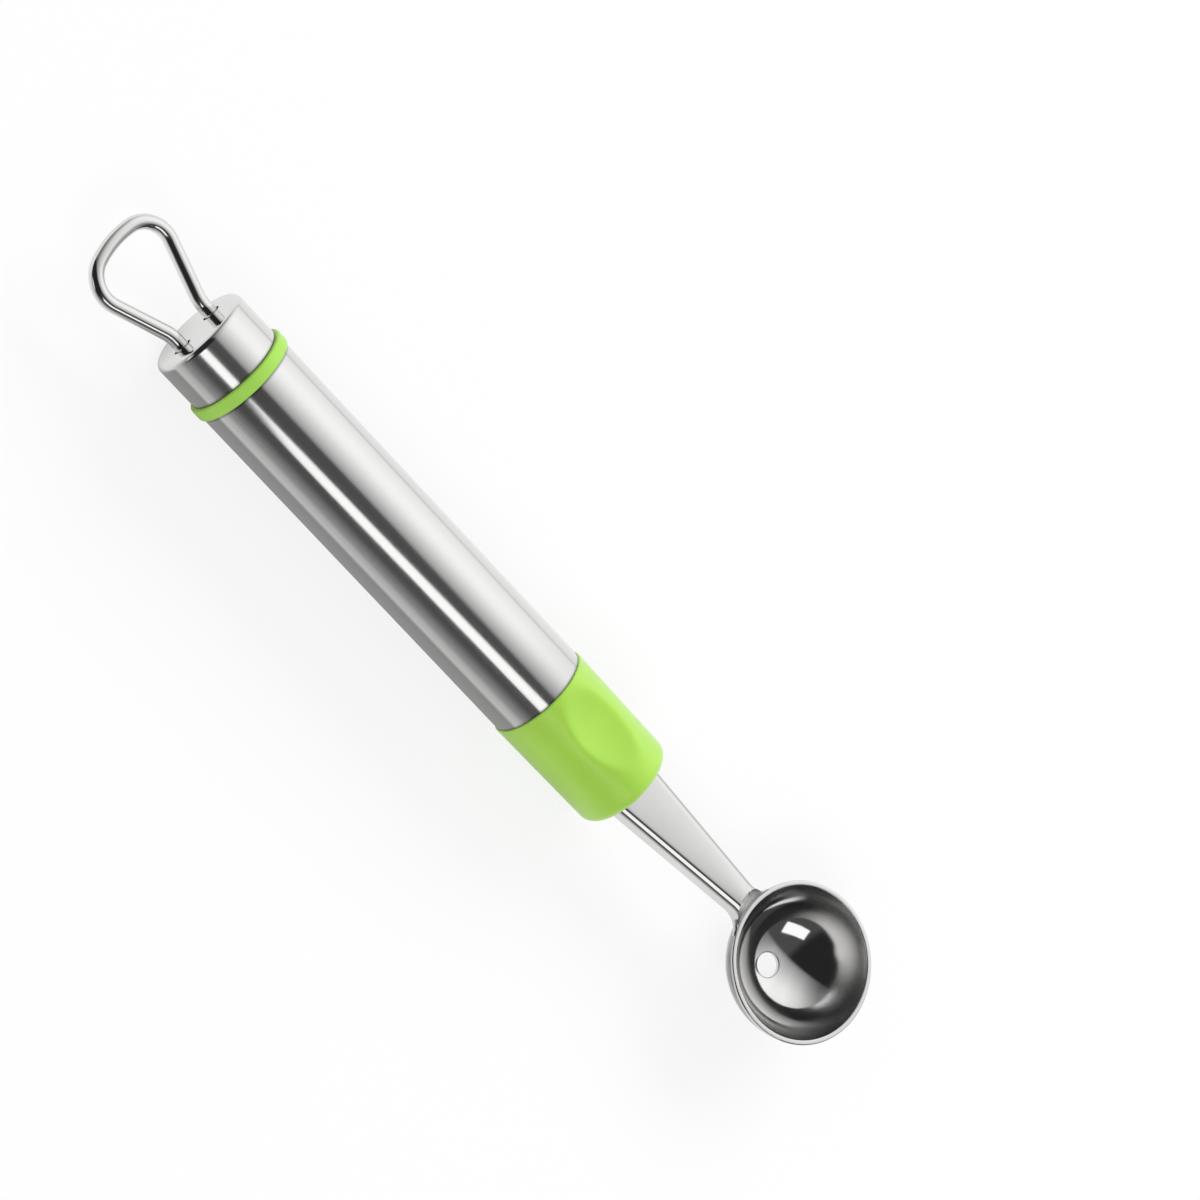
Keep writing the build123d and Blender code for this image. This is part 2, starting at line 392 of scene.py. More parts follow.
def satin_steel(colours):
    """Shank: pressed strip with a soft satin face."""
    material, paint = new_material("satin_steel")
    place = paint.place()
    grain = paint.noise(paint.moved(place, (40, 700, 300)), 2.0, 3.0, 0.6)
    cloud = paint.noise(place, 120.0, 3.0)
    tone = (grain - 0.5) * 0.05 + (cloud - 0.5) * 0.10 + 0.86
    colour = paint.mix(tone, shade(colours.steel, 0.4), shade(colours.steel))
    steel = bpy.context.scene.baller_steel
    bowl = bowl_place(steel).translation
    start = steel.bowl_rim + 2.0 * MM
    facet = paint.spread(place.apart(tuple(bowl)), start, start + 1.0 * MM, 0.2, 0, True)
    rough = (grain - 0.5) * 0.03 + (cloud - 0.5) * 0.03 + 0.038 + facet
    normal = paint.bump(grain, 0.000004, 0.3)
    paint.surface({"Base Color": colour, "Metallic": 1.0, "Roughness": rough, "Normal": normal})
    return material


def green_rubber(colours):
    """Thumb grip: soft rubber with a fine matt skin."""
    material, paint = new_material("green_rubber")
    place = paint.place()
    skin = paint.noise(place, 4200.0, 2.0)
    cloud = paint.noise(place, 90.0, 3.0)
    tone = paint.spread(cloud, 0.25, 0.75, 0.0, 1.0)
    colour = paint.mix(tone, shade(colours.rubber, 0.94), shade(colours.rubber, 1.03))
    rough = (skin - 0.5) * 0.08 + (cloud - 0.5) * 0.06 + 0.4
    normal = paint.bump(skin, 0.00002, 0.35)
    links = {"Base Color": colour, "Roughness": rough, "Normal": normal}
    links.update({"IOR": 1.6, "Specular IOR Level": 0.8, "Sheen Weight": 0.35})
    paint.surface(links)
    return material


def green_plastic(colours):
    """Ring band: moulded plastic, a little glossier than the grip."""
    material, paint = new_material("green_plastic")
    place = paint.place()
    skin = paint.noise(place, 2500.0, 2.0)
    cloud = paint.noise(place, 150.0, 2.0)
    colour = paint.mix(cloud, shade(colours.band, 0.93), shade(colours.band, 1.03))
    rough = (skin - 0.5) * 0.06 + 0.36
    normal = paint.bump(skin, 0.00001, 0.3)
    paint.surface({"Base Color": colour, "Roughness": rough, "Normal": normal})
    return material


def core_plastic(colours):
    """Hidden core and plug: plain moulded plastic."""
    material, paint = new_material("core_plastic")
    place = paint.place()
    skin = paint.noise(place, 1500.0, 3.0)
    cloud = paint.noise(place, 80.0, 2.0)
    colour = paint.mix(cloud, shade(colours.core, 0.85), shade(colours.core))
    rough = (skin - 0.5) * 0.1 + 0.5
    normal = paint.bump(skin, 0.00002, 0.4)
    paint.surface({"Base Color": colour, "Roughness": rough, "Normal": normal})
    return material


MATERIAL_MAKERS = {
    "brushed_steel": brushed_steel,
    "polished_steel": polished_steel,
    "satin_steel": satin_steel,
    "green_rubber": green_rubber,
    "green_plastic": green_plastic,
    "core_plastic": core_plastic,
}


def finish_of(context, slot):
    """The material of a record slot, made on its first use."""
    made = context.scene.get("baller_finishes", {})
    if slot in made:
        return bpy.data.materials[made[slot]]
    material = MATERIAL_MAKERS[slot](context.scene.baller_colours)
    made = dict(made)
    made[slot] = material.name
    context.scene["baller_finishes"] = made
    return material


def new_piece(context, name, mesh, body, slot, *nodes):
    """Put a finished mesh into the scene in place of its CAD nodes."""
    piece = bpy.data.objects.new(name, mesh)
    context.scene.collection.objects.link(piece)
    mesh.materials.clear()
    mesh.materials.append(finish_of(context, slot))
    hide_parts(*nodes)
    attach(piece, body)
    return piece


def arc(centre_x, centre_r, radius, start, end, steps):
    """Points of an arc in the plane of a lathe profile, its angles in degrees from +X outwards."""
    points = []
    for number in range(steps + 1):
        angle = math.radians(start + (end - start) * number / steps)
        points.append((centre_x + radius * math.cos(angle), centre_r + radius * math.sin(angle)))
    return points


def turned(profile, sides):
    """Turn a closed profile of (along, radius) points about the X axis into a bmesh."""
    form = bmesh.new()
    rings = []
    for along, radius in profile:
        if radius < WELD:
            rings.append([form.verts.new((along, 0, 0))])
            continue
        ring = []
        for number in range(sides):
            angle = TURN * number / sides
            ring.append(form.verts.new((along, radius * math.cos(angle), radius * math.sin(angle))))
        rings.append(ring)
    for first, second in zip(rings, rings[1:] + rings[:1]):
        if len(first) == 1 and len(second) == 1:
            continue
        for number in range(sides):
            after = (number + 1) % sides
            corners = [first[number % len(first)], first[after % len(first)]]
            corners += [second[after % len(second)], second[number % len(second)]]
            form.faces.new(list(dict.fromkeys(corners)))
    return form


def to_mesh(form, name, matrix, sharp_angle=40):
    """Move a bmesh to its place, point its faces outwards and make a smooth mesh of it."""
    form.transform(matrix)
    bmesh.ops.remove_doubles(form, verts=form.verts, dist=WELD)
    bmesh.ops.recalc_face_normals(form, faces=form.faces)
    mesh = bpy.data.meshes.new(name)
    form.to_mesh(mesh)
    form.free()
    mesh.shade_smooth()
    mesh.set_sharp_from_angle(angle=math.radians(sharp_angle))
    return mesh


def on_axis(station=0.0):
    """The place of a piece that was turned about X, on the handle's axis."""
    return Matrix.Translation((station, 0, AXIS_HEIGHT))


def sleeve_profile(start, end, outer, inner, edge):
    """A tube's wall between two stations, with rounded corners outside and inside."""
    steps = 4
    profile = arc(start + edge, outer - edge, edge, 180, 90, steps)
    profile += arc(end - edge, outer - edge, edge, 90, 0, steps)
    profile += arc(end - edge, inner + edge, edge, 0, -90, steps)
    profile += arc(start + edge, inner + edge, edge, -90, -180, steps)
    return profile


class TubeOperator(bpy.types.Operator):
    """Make the steel handle tube"""

    bl_idname = "baller.handle_tube"
    bl_label = "Handle tube"

    def execute(self, context):
        sizes = context.scene.baller_steel
        inner = TUBE_RADIUS - sizes.tube_wall
        profile = sleeve_profile(TUBE_LOW.x, TUBE_HIGH.x, TUBE_RADIUS, inner, sizes.tube_edge)
        mesh = to_mesh(turned(profile, LATHE_SIDES), "steel_tube", on_axis())
        new_piece(context, "steel_tube", mesh, "handle", "brushed_steel", "handle_tube")
        return {"FINISHED"}


class BandOperator(bpy.types.Operator):
    """Make the green ring band"""

    bl_idname = "baller.ring_band"
    bl_label = "Ring band"

    def execute(self, context):
        inner = TUBE_RADIUS - context.scene.baller_steel.tube_wall
        edge = context.scene.baller_grip.band_edge
        profile = sleeve_profile(BAND_LOW.x, BAND_HIGH.x, BAND_RADIUS, inner, edge)
        mesh = to_mesh(turned(profile, LATHE_SIDES), "green_band", on_axis())
        new_piece(context, "green_band", mesh, "handle", "green_plastic", "ring_band")
        return {"FINISHED"}


def cap_profile(sizes):
    """The drawn cup's wall, from the middle of its flat end outside to the middle inside."""
    edge = sizes.cap_edge
    bore = CAP_RADIUS - sizes.cap_wall
    inside = CAP_LOW.x + sizes.cap_wall
    inner_edge = edge - sizes.cap_wall * 0.6
    lip = sizes.tube_edge
    profile = [(CAP_LOW.x, 0)]
    profile += arc(CAP_LOW.x + edge, CAP_RADIUS - edge, edge, 180, 90, 8)
    profile += arc(CAP_HIGH.x - lip, CAP_RADIUS - lip, lip, 90, 0, 3)
    profile += arc(CAP_HIGH.x - lip, bore + lip, lip, 0, -90, 3)
    profile += arc(inside + inner_edge, bore - inner_edge, inner_edge, 90, 180, 4)
    profile.append((inside, 0))
    return profile


def hole_cutter(radius, edge, start, end):
    """A pin whose mouth flares out, so that the hole it cuts has a rounded edge."""
    over = 0.5 * MM
    profile = [(start - over, 0), (start - over, radius + edge)]
    profile += arc(start + edge, radius + edge, edge, 180, 270, 5)
    profile += [(end + over, radius), (end + over, 0)]
    return turned(profile, HOLE_SIDES)


def cut(context, mesh, cutters):
    """Take cutting shapes out of a mesh and return what is left."""
    target = bpy.data.objects.new("target", mesh)
    context.scene.collection.objects.link(target)
    tools = []
    for cutter in cutters:
        tool = bpy.data.objects.new("cutter", cutter)
        context.scene.collection.objects.link(tool)
        tools.append(tool)
        modifier = target.modifiers.new("cut", "BOOLEAN")
        modifier.operation = "DIFFERENCE"
        modifier.solver = "EXACT"
        modifier.object = tool
    weighted = target.modifiers.new("normals", "WEIGHTED_NORMAL")
    weighted.keep_sharp = True
    weighted.weight = 100
    context.view_layer.update()
    evaluated = target.evaluated_get(context.evaluated_depsgraph_get())
    result = bpy.data.meshes.new_from_object(evaluated)
    for scrap in [target] + tools:
        data = scrap.data
        bpy.data.objects.remove(scrap)
        bpy.data.meshes.remove(data)
    return result


class CapOperator(bpy.types.Operator):
    """Make the drawn end cap with its two wire holes"""

    bl_idname = "baller.end_cap"
    bl_label = "End cap"

    def execute(self, context):
        sizes = context.scene.baller_steel
        spacing = context.scene.baller_loop.leg_spacing
        cup = to_mesh(turned(cap_profile(sizes), LATHE_SIDES), "cap_blank", on_axis(), 35)
        cutters = []
        for side in (1, -1):
            radius = WIRE_RADIUS + sizes.hole_gap
            pin = hole_cutter(radius, sizes.hole_edge, CAP_LOW.x, CAP_LOW.x + sizes.cap_wall)
            place = Matrix.Translation((0, side * spacing / 2, 0)) @ on_axis()
            cutters.append(to_mesh(pin, "pin", place, 35))
        mesh = cut(context, cup, cutters)
        mesh.name = "steel_cap"
        new_piece(context, "steel_cap", mesh, "handle", "brushed_steel", "end_cap")
        return {"FINISHED"}


def bowl_ball(sizes):
    """Radius of the ball that the bowl's outside is part of, and its middle over the rim plane."""
    depth = sizes.bowl_depth + sizes.bowl_wall
    radius = (sizes.bowl_rim ** 2 + depth ** 2) / (2 * depth)
    return radius, radius - depth


def bowl_profile(sizes):
    """The cup's wall about its own upright axis as (height, radius), round the drain hole."""
    outer, middle = bowl_ball(sizes)
    inner = outer - sizes.bowl_wall
    edge = sizes.bowl_edge
    lip_out = math.sqrt((outer - edge) ** 2 - (middle + edge) ** 2)
    lip_in = math.sqrt((inner + edge) ** 2 - (middle + edge) ** 2)
    out_angle = math.degrees(math.atan2(lip_out, -edge - middle))
    in_angle = math.degrees(math.atan2(lip_in, -edge - middle))
    hole = sizes.drain_radius
    soft = 0.2 * MM
    hole_out = math.degrees(math.asin((hole + soft) / outer))
    hole_in = math.degrees(math.asin((hole + soft) / inner))
    profile = arc(middle, 0, outer, 180 - hole_out, out_angle, BOWL_STEPS)
    profile += arc(-edge, lip_out, edge, out_angle, 0, 5)[1:]
    profile += arc(-edge, lip_in, edge, 0, in_angle - 180, 5)
    profile += arc(middle, 0, inner, in_angle, 180 - hole_in, BOWL_STEPS)[1:]
    floor_in = middle - math.sqrt(inner ** 2 - (hole + soft) ** 2)
    floor_out = middle - math.sqrt(outer ** 2 - (hole + soft) ** 2)
    profile += arc(floor_in - soft, hole + soft, soft, 0, 0, 1)[:1]
    profile += arc(floor_in - soft, hole + soft, soft, -30, -90, 2)
    profile += arc(floor_out + soft, hole + soft, soft, -90, -150, 2)
    return profile


def bowl_place(sizes, turn=0):
    """Where the bowl's rim plane lies, with its own X towards the handle's front and its Z up."""
    centre = Vector((GRIP_HIGH.x + sizes.bowl_reach, 0, AXIS_HEIGHT + sizes.rim_height))
    tilt = Matrix.Rotation(-sizes.rise, 4, "Y")
    return Matrix.Translation(centre) @ tilt @ Matrix.Rotation(math.radians(turn), 4, "Y")


class BowlOperator(bpy.types.Operator):
    """Make the polished bowl"""

    bl_idname = "baller.bowl"
    bl_label = "Bowl"

    def execute(self, context):
        sizes = context.scene.baller_steel
        form = turned(bowl_profile(sizes), BOWL_SIDES)
        mesh = to_mesh(form, "steel_bowl", bowl_place(sizes, -90), 50)
        new_piece(context, "steel_bowl", mesh, "handle", "polished_steel", "bowl")
        return {"FINISHED"}


def shank_lean(steel, sizes):
    """How much half of the shank's width grows with the distance from the bowl."""
    return (sizes.root_width - sizes.neck_width) / (steel.bowl_reach - sizes.neck_distance) / 2


def shank_outline(steel, sizes):
    """One side of the shank's plan: points as (distance from the bowl, half width) and ways out."""
    lean = shank_lean(steel, sizes)
    angle = math.atan(lean)
    start = sizes.neck_width / 2 - lean * sizes.neck_distance
    across = start * math.cos(angle) + sizes.flare_radius
    reach = steel.bowl_rim + sizes.flare_radius
    along = math.sqrt(reach ** 2 - across ** 2)
    hub = Vector((along, across))
    hub.rotate(Matrix.Rotation(angle, 2))
    points = []
    root = steel.bowl_reach + sizes.root_depth
    for share in TAPER_SHARES:
        far = root + share * (hub.x - root)
        points.append((Vector((far, start + lean * far)), Vector((-math.sin(angle), math.cos(angle)))))
    last = math.atan2(hub.y, hub.x)
    first = math.pi / 2 + angle
    for number in range(FLARE_STEPS + 1):
        turn = first + (last - first) * number / FLARE_STEPS
        out = Vector((math.cos(turn), math.sin(turn)))
        points.append((hub - out * sizes.flare_radius, out))
    return points


def edge_steps(sizes):
    """The rolled edge of the shank as (way in from the side, way down from the top)."""
    lean, upper, lower, flat = sizes.edge_lean, sizes.upper_bend, sizes.lower_bend, sizes.edge_flat
    inset = upper * math.sin(lean) + flat * math.cos(lean) + lower * (1 - math.sin(lean))
    steps = []
    for number in range(9):
        turn = lean * (0.12 + 0.88 * number / 8)
        steps.append((inset - upper * math.sin(turn), upper * (1 - math.cos(turn))))
    drop = steps[-1][1] + flat * math.sin(lean)
    for number in range(13):
        turn = lean + (math.pi / 2 - lean) * number / 12
        steps.append((lower * (1 - math.sin(turn)), drop + lower * (math.cos(lean) - math.cos(turn))))
    steps.append((0, sizes.depth - sizes.crown))
    return steps


def shank_form(steel, sizes):
    """The shank's outside as rings across it, from its root in the grip to the bowl."""
    form = bmesh.new()
    steps = edge_steps(sizes)
    rings = []
    for spot, out in shank_outline(steel, sizes):
        edge = spot - out * steps[0][0]
        half = []
        for share in ACROSS_SHARES:
            half.append((Vector((edge.x, edge.y * share)), sizes.top_height - sizes.crown * share ** 2))
        for inset, drop in steps:
            half.append((spot - out * inset, sizes.top_height - sizes.crown - drop))
        ring = [form.verts.new((-point.x, -point.y, height)) for point, height in reversed(half)]
        ring.append(form.verts.new((-edge.x, 0, sizes.top_height)))
        ring += [form.verts.new((-point.x, point.y, height)) for point, height in half]
        rings.append(ring)
    for first, second in zip(rings, rings[1:]):
        for number in range(len(first)):
            after = (number + 1) % len(first)
            form.faces.new((first[number], first[after], second[after], second[number]))
    form.faces.new(rings[0])
    form.faces.new(list(reversed(rings[-1])))
    return form


def block(corners, low, high):
    """An upright solid over a plan of corners."""
    form = bmesh.new()
    lower = [form.verts.new((x, y, low)) for x, y in corners]
    upper = [form.verts.new((x, y, high)) for x, y in corners]
    form.faces.new(lower)
    form.faces.new(upper)
    for number in range(len(corners)):
        after = (number + 1) % len(corners)
        form.faces.new((lower[number], lower[after], upper[after], upper[number]))
    return form


def channel_form(steel, sizes):
    """What is hollow under the shank's top, between its side walls."""
    lean = shank_lean(steel, sizes)
    near = sizes.neck_distance + sizes.web
    far = steel.bowl_reach + sizes.root_depth + OVERRUN
    start = sizes.neck_width / 2 + lean * (near - sizes.neck_distance) - sizes.wall
    end = start + lean * (far - near)
    corners = [(-near, start), (-far, end), (-far, -end), (-near, -start)]
    low = sizes.top_height - sizes.depth
    return block(corners, low - OVERRUN, sizes.top_height - sizes.wall)


def bowl_room(steel, sizes):
    """The room for the bowl: its outside, and a cone over its rim that leaves the facet."""
    outer, middle = bowl_ball(steel)
    rim_angle = math.degrees(math.atan2(steel.bowl_rim, -middle))
    over = sizes.top_height + OVERRUN
    profile = arc(middle, 0, outer, 180, rim_angle, 64)
    profile += [(over, steel.bowl_rim + sizes.facet_run * over / sizes.top_height), (over, 0)]
    return turned(profile, BOWL_SIDES)


class ShankOperator(bpy.types.Operator):
    """Press the shank: a tapered channel that flares into the bowl"""

    bl_idname = "baller.shank"
    bl_label = "Shank"

    def execute(self, context):
        steel = context.scene.baller_steel
        sizes = context.scene.baller_shank
        place = bowl_place(steel)
        blank = to_mesh(shank_form(steel, sizes), "shank_blank", place, 30)
        hollow = to_mesh(channel_form(steel, sizes), "channel", place, 30)
        room = to_mesh(bowl_room(steel, sizes), "bowl_room", bowl_place(steel, -90), 30)
        mesh = cut(context, blank, [hollow, room])
        mesh.name = "steel_shank"
        root = -(steel.bowl_reach + sizes.root_depth)
        tip = root - sizes.tang_length
        half = sizes.tang_width / 2
        corners = [(root, half), (tip, half), (tip, -half), (root, -half)]
        tang = block(corners, sizes.top_height - sizes.wall, sizes.top_height)
        whole = bmesh.new()
        whole.from_mesh(to_mesh(tang, "tang", place, 30))
        whole.from_mesh(mesh)
        whole.to_mesh(mesh)
        whole.free()
        new_piece(context, "steel_shank", mesh, "handle", "satin_steel", "shank")
        return {"FINISHED"}


def smooth_least(first, second, blend):
    """The smaller of two numbers, with a rounded change from one to the other."""
    return (first + second - math.sqrt((first - second) ** 2 + blend ** 2)) / 2


def grip_radius(sizes, along, angle):
    """Radius of the grip's skin at a distance from its back end and an angle round the axis."""
    whole = GRIP_HIGH.x - GRIP_LOW.x
    plain = GRIP_RADIUS + (sizes.front_radius - GRIP_RADIUS) * along / whole
    hollow = whole - sizes.back_land - sizes.front_land
    middle = sizes.back_land + hollow / 2
    crown = GRIP_RADIUS + (sizes.front_radius - GRIP_RADIUS) * middle / whole
    ball = ((hollow / 2) ** 2 + sizes.dimple_depth ** 2) / (2 * sizes.dimple_depth)
    height = crown + ball - sizes.dimple_depth
    rise = abs(math.sin(angle))
    inside = ball ** 2 - (along - middle) ** 2 - (height * math.cos(angle)) ** 2
    skin = height * rise - math.sqrt(max(inside, 0))
    if inside <= 0:
        return plain
    return min(plain, smooth_least(plain, skin, sizes.dimple_blend))


def grip_form(sizes):
    """The grip's skin as a grid round the handle, closed in front and open to the core behind."""
    whole = GRIP_HIGH.x - GRIP_LOW.x
    back, front = sizes.back_edge, sizes.front_edge
    stations = []
    for degrees in range(0, 90, 18):
        turn = math.radians(degrees)
        stations.append((back - back * math.cos(turn), back * (1 - math.sin(turn))))
    for number in range(GRIP_STEPS + 1):
        stations.append((back + (whole - front - back) * number / GRIP_STEPS, 0))
    for degrees in range(6, 91, 6):
        turn = math.radians(degrees)
        stations.append((whole - front + front * math.sin(turn), front * (1 - math.cos(turn))))
    sides = GRIP_SIDES
    form = bmesh.new()
    rings = []
    for along, inset in stations:
        ring = []
        for number in range(sides):
            angle = TURN * number / sides
            radius = grip_radius(sizes, along, angle) - inset
            ring.append(form.verts.new((along, radius * math.cos(angle), radius * math.sin(angle))))
        rings.append(ring)
    for first, second in zip(rings, rings[1:]):
        for number in range(sides):
            after = (number + 1) % sides
            form.faces.new((first[number], first[after], second[after], second[number]))
    nose = form.verts.new((whole, 0, 0))
    for number in range(sides):
        form.faces.new((rings[-1][number], rings[-1][(number + 1) % sides], nose))
    bottom = whole - sizes.front_wall
    inner = []
    for along in (0, bottom):
        ring = []
        for number in range(sides):
            angle = TURN * number / sides
            across, up = sizes.bore_radius * math.cos(angle), sizes.bore_radius * math.sin(angle)
            ring.append(form.verts.new((along, across, up)))
        inner.append(ring)
    pit = form.verts.new((bottom, 0, 0))
    for number in range(sides):
        after = (number + 1) % sides
        form.faces.new((rings[0][number], inner[0][number], inner[0][after], rings[0][after]))
        form.faces.new((inner[0][number], inner[1][number], inner[1][after], inner[0][after]))
        form.faces.new((inner[1][number], pit, inner[1][after]))
    return form


class GripOperator(bpy.types.Operator):
    """Make the soft thumb grip with its two dimples"""

    bl_idname = "baller.thumb_grip"
    bl_label = "Thumb grip"

    def execute(self, context):
        form = grip_form(context.scene.baller_grip)
        mesh = to_mesh(form, "rubber_grip", on_axis(GRIP_LOW.x), 50)
        new_piece(context, "rubber_grip", mesh, "handle", "green_rubber", "thumb_grip")
        return {"FINISHED"}


def loop_path(sizes, cap_wall):
    """Middle of the bent wire from one foot to the other, as points in the loop's own plane."""
    leg = sizes.leg_spacing / 2
    foot_x = CAP_LOW.x + cap_wall + sizes.foot_inset
    kink_x = CAP_LOW.x - sizes.straight
    top_x = LOOP_LOW.x + WIRE_RADIUS
    half = (LOOP_HIGH.y - LOOP_LOW.y) / 2 - WIRE_RADIUS
    centre = top_x + sizes.top_radius
    corner_y = half - sizes.corner_radius
    corner_x = centre - math.sqrt((sizes.top_radius - sizes.corner_radius) ** 2 - corner_y ** 2)
    gap_x, gap_y = kink_x - corner_x, leg - corner_y
    splay = math.asin(sizes.corner_radius / math.hypot(gap_x, gap_y)) - math.atan2(gap_y, gap_x)
    join = math.degrees(math.atan2(corner_y, corner_x - centre))
    touch = 90 - math.degrees(splay)
    bend = sizes.foot_bend
    points = [(foot_x, sizes.foot_tip)]
    points += arc(foot_x - bend, leg + bend, bend, 0, -90, 8)
    kink = sizes.kink_radius
    reach = kink * math.tan(splay / 2)
    points += arc(kink_x + reach, leg + kink, kink, -90, -90 - math.degrees(splay), 8)
    points += arc(corner_x, corner_y, sizes.corner_radius, touch, join, 24)
    points += arc(centre, 0, sizes.top_radius, join, 180, 24)[1:]
    other = [(x, -y) for x, y in reversed(points[:-1])]
    return points + other


def wire_tree(material):
    """Nodes that run a round wire along a curve, with its radius and facets as inputs."""
    tree = bpy.data.node_groups.new("wire_along_path", "GeometryNodeTree")
    panel = tree.interface
    panel.new_socket("Geometry", in_out="INPUT", socket_type="NodeSocketGeometry")
    radius = panel.new_socket("Wire radius", in_out="INPUT", socket_type="NodeSocketFloat")
    sides = panel.new_socket("Wire sides", in_out="INPUT", socket_type="NodeSocketInt")
    panel.new_socket("Geometry", in_out="OUTPUT", socket_type="NodeSocketGeometry")
    nodes, links = tree.nodes, tree.links
    source = nodes.new("NodeGroupInput")
    circle = nodes.new("GeometryNodeCurvePrimitiveCircle")
    sweep = nodes.new("GeometryNodeCurveToMesh")
    sweep.inputs["Fill Caps"].default_value = True
    smooth = nodes.new("GeometryNodeSetShadeSmooth")
    real = nodes.new("GeometryNodeRealizeInstances")
    paint = nodes.new("GeometryNodeSetMaterial")
    paint.inputs["Material"].default_value = material
    target = nodes.new("NodeGroupOutput")
    links.new(source.outputs["Wire radius"], circle.inputs["Radius"])
    links.new(source.outputs["Wire sides"], circle.inputs["Resolution"])
    links.new(source.outputs["Geometry"], sweep.inputs["Curve"])
    links.new(circle.outputs["Curve"], sweep.inputs["Profile Curve"])
    links.new(sweep.outputs["Mesh"], smooth.inputs["Geometry"])
    links.new(smooth.outputs["Geometry"], real.inputs["Geometry"])
    links.new(real.outputs["Geometry"], paint.inputs["Geometry"])
    links.new(paint.outputs["Geometry"], target.inputs["Geometry"])
    return tree, radius.identifier, sides.identifier


class LoopOperator(bpy.types.Operator):
    """Bend the hanging loop from round wire"""

    bl_idname = "baller.hanging_loop"
    bl_label = "Hanging loop"

    def execute(self, context):
        sizes = context.scene.baller_loop
        path = bpy.data.curves.new("wire_path", "CURVE")
        path.dimensions = "3D"
        line = path.splines.new("POLY")
        points = loop_path(sizes, context.scene.baller_steel.cap_wall)
        line.points.add(len(points) - 1)
        for point, (x, y) in zip(line.points, points):
            point.co = (x, y, AXIS_HEIGHT, 1)
        guide = bpy.data.objects.new("wire_path", path)
        context.scene.collection.objects.link(guide)
        tree, radius, sides = wire_tree(finish_of(context, "polished_steel"))
        modifier = guide.modifiers.new("wire", "NODES")
        modifier.node_group = tree
        modifier[radius] = WIRE_RADIUS
        modifier[sides] = sizes.wire_sides
        context.view_layer.update()
        evaluated = guide.evaluated_get(context.evaluated_depsgraph_get())
        mesh = bpy.data.meshes.new_from_object(evaluated)
        mesh.name = "wire_loop"
        bpy.data.objects.remove(guide)
        if not mesh.vertices:
            raise RuntimeError("the wire came out empty")
        new_piece(context, "wire_loop", mesh, "loop", "polished_steel", "hanging_loop")
        return {"FINISHED"}


class CarriedOperator(bpy.types.Operator):
    """Give the core and the plug of the CAD model their finishes"""

    bl_idname = "baller.carried_nodes"
    bl_label = "Core and plug"

    def execute(self, context):
        material = finish_of(context, "core_plastic")
        for node in ("grip_core", "end_plug"):
            for place in frame["nodes"][node].material_slots:
                place.material = material
        return {"FINISHED"}


# The studio: the photograph's camera, a pale floor, soft lamps and long strip lights
CAMERA_PLACE = Vector((-268.133, -297.798, 662.909)) * MM
CAMERA_AIM = Vector((10.789, 19.946, 9.45)) * MM
CAMERA_ROLL = 83.6047
LENS = 139.5
SENSOR = 36.0

# The softbox's direction, its two edges' directions, its spans along them, and its softness
BOX_WAY = (0.40, -0.58, 0.71)
BOX_ACROSS = (0.858, 0.509, -0.068)
BOX_UP = (-0.322, 0.636, 0.701)
BOX_WIDTH = (-0.34, 0.31)
BOX_HEIGHT = (-0.205, 0.1)
BOX_SOFT = 0.012
BOX_LEVEL = 1.25

# The way to the glow in the bowl's wall
GLOW_WAY = (-0.585, -0.81, 0)

# How bright the soft side panel is round the handle and along it, and the painted light and shade of
# the floor across the handle in the steel's reflections
PANEL_LEVEL = 1.2
PANEL_LEVELS = (
    (0, 0.78), (0.1, 0.84), (0.34, 0.96), (0.46, 0.90),
    (0.58, 0.70), (0.75, 0.37), (0.785, 0.28), (0.83, 0),
)
PANEL_ENDS = ((0.05, 0.2), (0.2, 0.75), (0.35, 1), (0.72, 1), (0.82, 0.6), (0.92, 0.3))
FLOOR_PAINTED_LEVELS = ((0, 0.24), (0.3, 0.36), (0.365, 0.62), (0.385, 0.98), (0.53, 0.92), (0.62, 0.66))
PLAIN_LIGHT = 0.52
WHITE = (1, 1, 1, 1)

# Place, size in metres and power in watts of the two soft lamps
KEY_LAMP = (Vector((0.2, 2.0, 1.2)), (2.0, 1.0), 42)
FILL_LAMP = (Vector((0.6, -1.5, 1.9)), (1.4, 1.0), 20)


def studio_world(scene):
    """White to the camera, plain soft light on matt pieces, and a studio's lights in the steel."""
    world = bpy.data.worlds.new("studio")
    world.use_nodes = True
    scene.world = world
    paint = Shader(world.node_tree)
    way = paint.node("ShaderNodeTexCoord", {}, {}, "Generated")
    x, y, z = paint.parts(way)
    depth = way.along(BOX_WAY)
    across = way.along(BOX_ACROSS) / depth
    up = way.along(BOX_UP) / depth
    softbox = paint.window(across, *BOX_WIDTH, BOX_SOFT) * paint.window(up, *BOX_HEIGHT, BOX_SOFT)
    softbox = softbox * paint.spread(depth, 0.5, 0.6, 0, 1)
    angle = z.angle(y) * (180 / math.pi)
    panel = paint.ramp(angle, 0, 120, *PANEL_LEVELS) * paint.ramp(x, -1, 1, *PANEL_ENDS)
    low = paint.spread(angle, 158, 180, 0, 0.16, True) * paint.spread(x, -0.6, 0.1, 0, 1, True)
    base = paint.spread(x, -0.1, 0.15, 0.022, 0.085, True)
    glow = paint.spread(way.along(GLOW_WAY), 0.95, 0.995, 0, 0.9, True)
    seen = softbox * BOX_LEVEL + panel * PANEL_LEVEL + low + base + glow
    rays = paint.node("ShaderNodeLightPath", {}, {}, "Is Camera Ray")
    glossy = paint.node("ShaderNodeLightPath", {}, {}, "Is Glossy Ray")
    level = paint.mix(glossy, shade(WHITE, PLAIN_LIGHT), seen)
    level = paint.mix(rays, level, WHITE)
    shine = paint.node("ShaderNodeBackground", {}, {"Color": level, "Strength": 1.0})
    paint.node("ShaderNodeOutputWorld", {}, {"Surface": shine})


